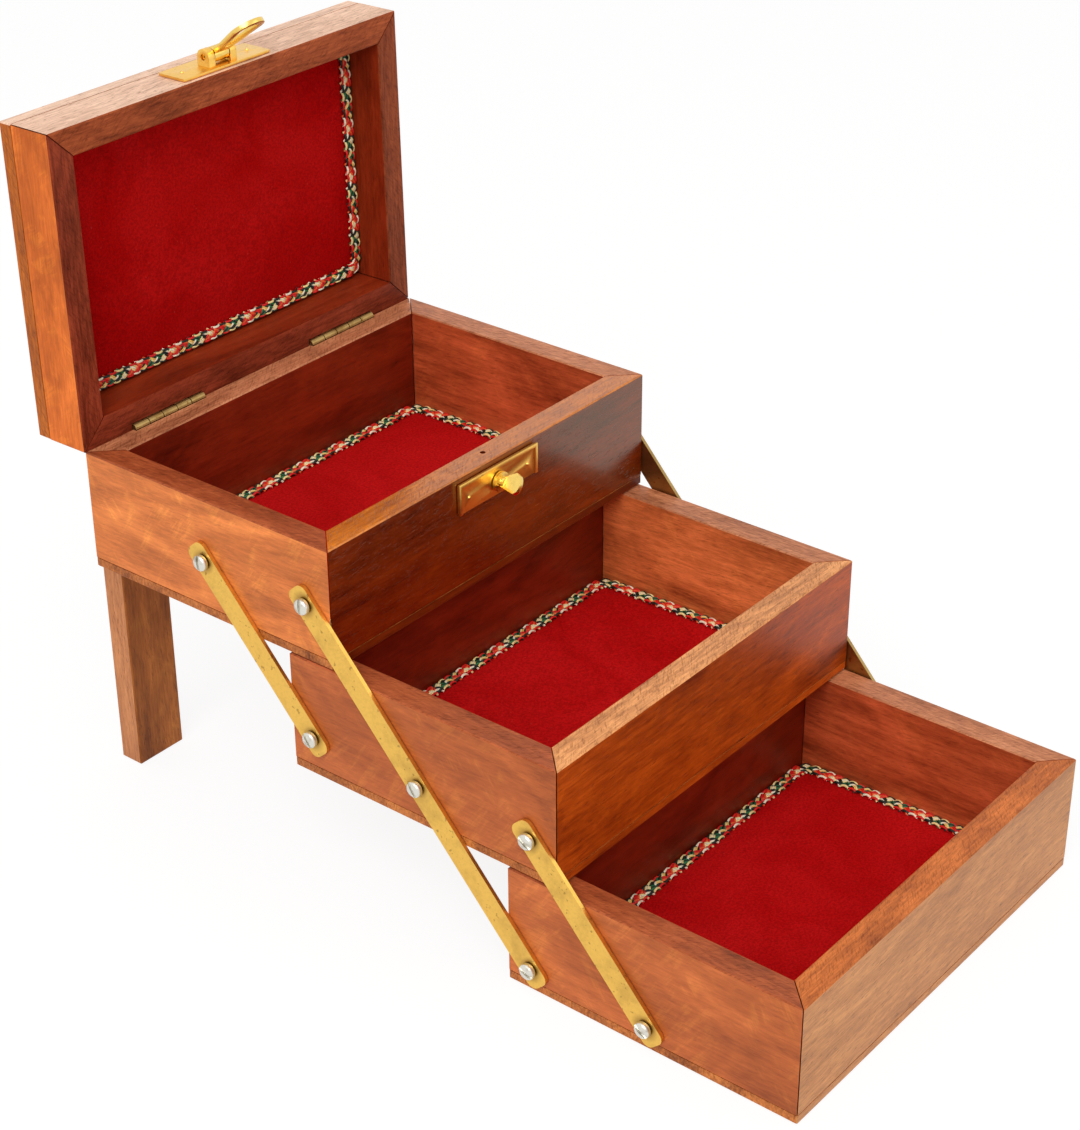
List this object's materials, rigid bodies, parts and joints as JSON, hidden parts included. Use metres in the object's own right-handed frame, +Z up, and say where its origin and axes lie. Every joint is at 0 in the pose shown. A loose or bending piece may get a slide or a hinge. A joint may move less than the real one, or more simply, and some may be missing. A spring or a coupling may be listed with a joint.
{
  "type": "cantilever jewelry box",
  "caption": "Wooden jewelry box whose lined trays swing out in steps on brass links, with a hinged lid, a hasp and rear legs.",
  "frame": {"origin": "centre of the underside of the bottom box, on the floor", "axes": "+X across the box to its right, +Y from the front towards the hinged back, +Z up"},
  "size_m": [0.1576, 0.29, 0.2402],
  "materials": {
    "varnished_wood": "reddish brown hardwood, thin satin varnish",
    "pale_wood": "paler brown hardwood, nearly matt",
    "crimson_velvet": "short crimson pile",
    "braid_thread": "braided trim of cream, gold, red, green and white thread",
    "brass": "polished yellow brass",
    "nickel": "bright nickel-plated steel"
  },
  "bodies": {
    "bottom_box": {"bottom_box_front": "varnished_wood", "bottom_box_back": "varnished_wood", "bottom_box_left": "varnished_wood", "bottom_box_right": "varnished_wood", "bottom_box_base": "varnished_wood", "bottom_box_velvet_pad": "crimson_velvet", "bottom_box_braid": "braid_thread", "bottom_box_middle_screw_left": "nickel", "bottom_box_back_screw_left": "nickel", "bottom_box_middle_screw_right": "nickel", "bottom_box_back_screw_right": "nickel"},
    "long_links": {"long_link_left": "brass", "long_link_right": "brass"},
    "lower_links": {"lower_link_left": "brass", "lower_link_right": "brass"},
    "middle_box": {"middle_box_front": "varnished_wood", "middle_box_back": "varnished_wood", "middle_box_left": "varnished_wood", "middle_box_right": "varnished_wood", "middle_box_base": "varnished_wood", "middle_box_velvet_pad": "crimson_velvet", "middle_box_braid": "braid_thread", "middle_box_front_screw_left": "nickel", "middle_box_middle_screw_left": "nickel", "middle_box_back_screw_left": "nickel", "middle_box_front_screw_right": "nickel", "middle_box_middle_screw_right": "nickel", "middle_box_back_screw_right": "nickel"},
    "upper_links": {"upper_link_left": "brass", "upper_link_right": "brass"},
    "top_box": {"top_box_front": "varnished_wood", "top_box_back": "varnished_wood", "top_box_left": "varnished_wood", "top_box_right": "varnished_wood", "top_box_base": "varnished_wood", "top_box_velvet_pad": "crimson_velvet", "top_box_braid": "braid_thread", "top_box_front_screw_left": "nickel", "top_box_middle_screw_left": "nickel", "top_box_front_screw_right": "nickel", "top_box_middle_screw_right": "nickel", "leg_left": "pale_wood", "leg_right": "pale_wood", "box_hinge_leaf_left": "brass", "box_hinge_leaf_right": "brass", "hinge_pin_left": "brass", "hinge_pin_right": "brass", "catch_plate": "brass"},
    "thumb_turn": {"thumb_turn": "brass"},
    "lid": {"lid_front": "varnished_wood", "lid_back": "varnished_wood", "lid_left": "varnished_wood", "lid_right": "varnished_wood", "lid_panel": "varnished_wood", "lid_velvet_pad": "crimson_velvet", "lid_braid": "braid_thread", "lid_hinge_leaf_left": "brass", "lid_hinge_leaf_right": "brass", "hasp_plate": "brass"},
    "hasp_loop": {"hasp_loop": "brass"}
  },
  "joints": [
    {"name": "tray_swing", "type": "hinge", "parent": "bottom_box", "child": "long_links", "pos_m": [0, 0.0415, 0.0084], "axis": [1, 0, 0], "range_deg": [0, 83.99]},
    {"name": "lower_link_pivot", "type": "hinge", "parent": "bottom_box", "child": "lower_links", "pos_m": [0, 0, 0.0084], "axis": [1, 0, 0], "range_deg": [0, 83.99]},
    {"name": "middle_box_pivot", "type": "hinge", "parent": "long_links", "child": "middle_box", "pos_m": [0, 0.083, 0.0545], "axis": [1, 0, 0], "range_deg": [-83.99, 0]},
    {"name": "top_box_pivot", "type": "hinge", "parent": "long_links", "child": "top_box", "pos_m": [0, 0.1245, 0.1006], "axis": [1, 0, 0], "range_deg": [-83.99, 0]},
    {"name": "upper_link_pivot", "type": "hinge", "parent": "middle_box", "child": "upper_links", "pos_m": [0, 0.1245, 0.0545], "axis": [1, 0, 0], "range_deg": [0, 83.99]},
    {"name": "lid_hinge", "type": "hinge", "parent": "top_box", "child": "lid", "pos_m": [0, 0.2165, 0.121], "axis": [1, 0, 0], "range_deg": [0, 91]},
    {"name": "thumb_turn_pivot", "type": "hinge", "parent": "top_box", "child": "thumb_turn", "pos_m": [0, 0.1155, 0.1131], "axis": [0, 1, 0], "continuous": true},
    {"name": "hasp_loop_hinge", "type": "hinge", "parent": "lid", "child": "hasp_loop", "pos_m": [0, 0.22493, 0.22577], "axis": [1, 0, 0], "range_deg": [-144, 36]}
  ],
  "couplings": [
    {"joint": "lower_link_pivot", "follows": "tray_swing", "ratio": 1},
    {"joint": "middle_box_pivot", "follows": "tray_swing", "ratio": -1},
    {"joint": "top_box_pivot", "follows": "tray_swing", "ratio": -1},
    {"joint": "upper_link_pivot", "follows": "tray_swing", "ratio": 1}
  ]
}
